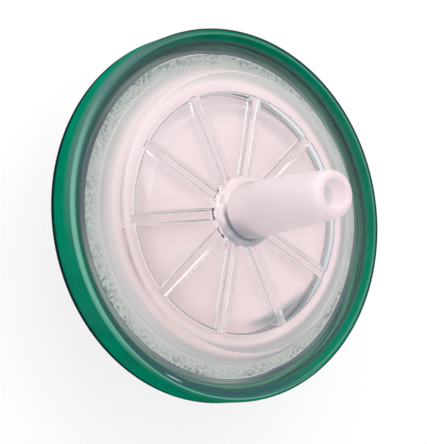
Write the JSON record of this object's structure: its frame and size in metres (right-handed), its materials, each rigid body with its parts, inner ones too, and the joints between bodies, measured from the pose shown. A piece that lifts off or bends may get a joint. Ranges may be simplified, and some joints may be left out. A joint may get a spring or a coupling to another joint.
{
  "type": "syringe filter",
  "caption": "Disposable syringe filter: clear ribbed disc housing with a white membrane, green overmoulded rim, tapered luer slip outlet and luer lock inlet.",
  "frame": {"origin": "middle of the flat open end of the female luer inlet, which the filter stands on", "axes": "+Z along the flow, from the inlet up to the outlet nozzle's tip; the two luer lock lugs lie along X"},
  "size_m": [0.0334, 0.0334, 0.0273],
  "materials": {
    "clear_housing": "clear gloss, slightly pink-grey",
    "membrane": "matt white, fine fibres, green specks at the crushed edge",
    "green_ring": "gloss, slightly translucent green"
  },
  "bodies": {
    "root": {"inlet_half": "clear_housing", "filter_membrane": "membrane", "outlet_half": "clear_housing", "overmould_ring": "green_ring"}
  },
  "joints": []
}
